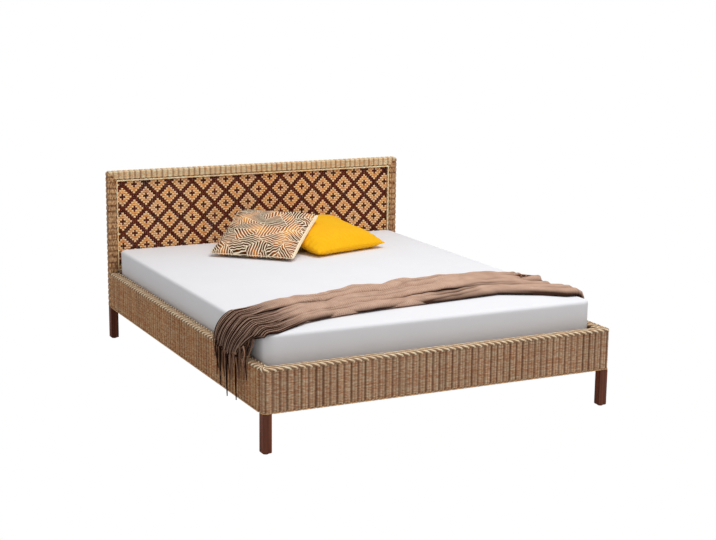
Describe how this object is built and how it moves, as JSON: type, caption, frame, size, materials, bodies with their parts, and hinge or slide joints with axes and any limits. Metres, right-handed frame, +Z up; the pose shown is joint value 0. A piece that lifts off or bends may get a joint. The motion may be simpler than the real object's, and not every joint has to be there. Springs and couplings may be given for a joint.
{
  "type": "rattan bed",
  "caption": "Rattan double bed: ribbed wicker rails on square dark wood legs, diamond-woven headboard, mattress in a white sheet, cushions and a fringed throw.",
  "frame": {"origin": "on the floor, in the middle of the underside of the centre leg's glide, halfway along and across the bed frame", "axes": "+X to the right side seen from the foot, +Y towards the headboard, +Z up"},
  "size_m": [1.728, 2.131, 0.895],
  "materials": {
    "wicker": "woven rattan strands, satin",
    "border_cane": "pale rattan strands, satin",
    "brown_cane": "brown-stained rattan strands, satin",
    "straw_cane": "natural rattan strands, satin",
    "leg_wood": "dark red-brown stain, satin",
    "board_wood": "planed softwood, unfinished",
    "slat_wood": "planed softwood, unfinished",
    "fitting_steel": "zinc-plated",
    "glide_plastic": "moulded, matt",
    "sheet_cotton": "white cotton jersey",
    "yellow_cotton": "plain yellow cotton",
    "printed_cotton": "cream cotton with an ochre and grey frond print",
    "throw_wool": "taupe wool twill with a fringe"
  },
  "bodies": {
    "root": {"leg_foot_left": "leg_wood", "leg_foot_right": "leg_wood", "leg_head_left": "leg_wood", "leg_head_right": "leg_wood", "centre_leg": "leg_wood", "glide_foot_left": "glide_plastic", "glide_foot_right": "glide_plastic", "glide_head_left": "glide_plastic", "glide_head_right": "glide_plastic", "glide_centre": "glide_plastic", "leg_bolt_foot_left": "fitting_steel", "leg_bolt_foot_right": "fitting_steel", "leg_bolt_head_left": "fitting_steel", "leg_bolt_head_right": "fitting_steel", "corner_bracket_foot_left": "fitting_steel", "corner_bracket_foot_right": "fitting_steel", "corner_bracket_head_left": "fitting_steel", "corner_bracket_head_right": "fitting_steel", "beam_shoe_foot": "fitting_steel", "beam_shoe_head": "fitting_steel", "foot_rail_core": "board_wood", "side_rail_core_left": "board_wood", "side_rail_core_right": "board_wood", "headboard_stile_core_left": "board_wood", "headboard_stile_core_right": "board_wood", "headboard_top_core": "board_wood", "headboard_lower_core": "board_wood", "slat_ledge_left": "slat_wood", "slat_ledge_right": "slat_wood", "centre_beam": "slat_wood", "slat_01": "slat_wood", "slat_02": "slat_wood", "slat_03": "slat_wood", "slat_04": "slat_wood", "slat_05": "slat_wood", "slat_06": "slat_wood", "slat_07": "slat_wood", "slat_08": "slat_wood", "slat_09": "slat_wood", "slat_10": "slat_wood", "slat_11": "slat_wood", "foot_rail_weave": "wicker", "side_rail_weave_left": "wicker", "side_rail_weave_right": "wicker", "headboard_stile_weave_left": "wicker", "headboard_stile_weave_right": "wicker", "headboard_top_weave": "wicker", "headboard_lower_weave": "wicker", "foot_rail_border": "border_cane", "side_rail_border_left": "border_cane", "side_rail_border_right": "border_cane", "panel_bead_front": "border_cane", "panel_bead_back": "border_cane", "panel_brown_layer": "brown_cane", "panel_natural_layer": "straw_cane", "mattress": "sheet_cotton", "cushion_yellow": "yellow_cotton", "cushion_printed": "printed_cotton", "throw": "throw_wool"}
  },
  "joints": []
}
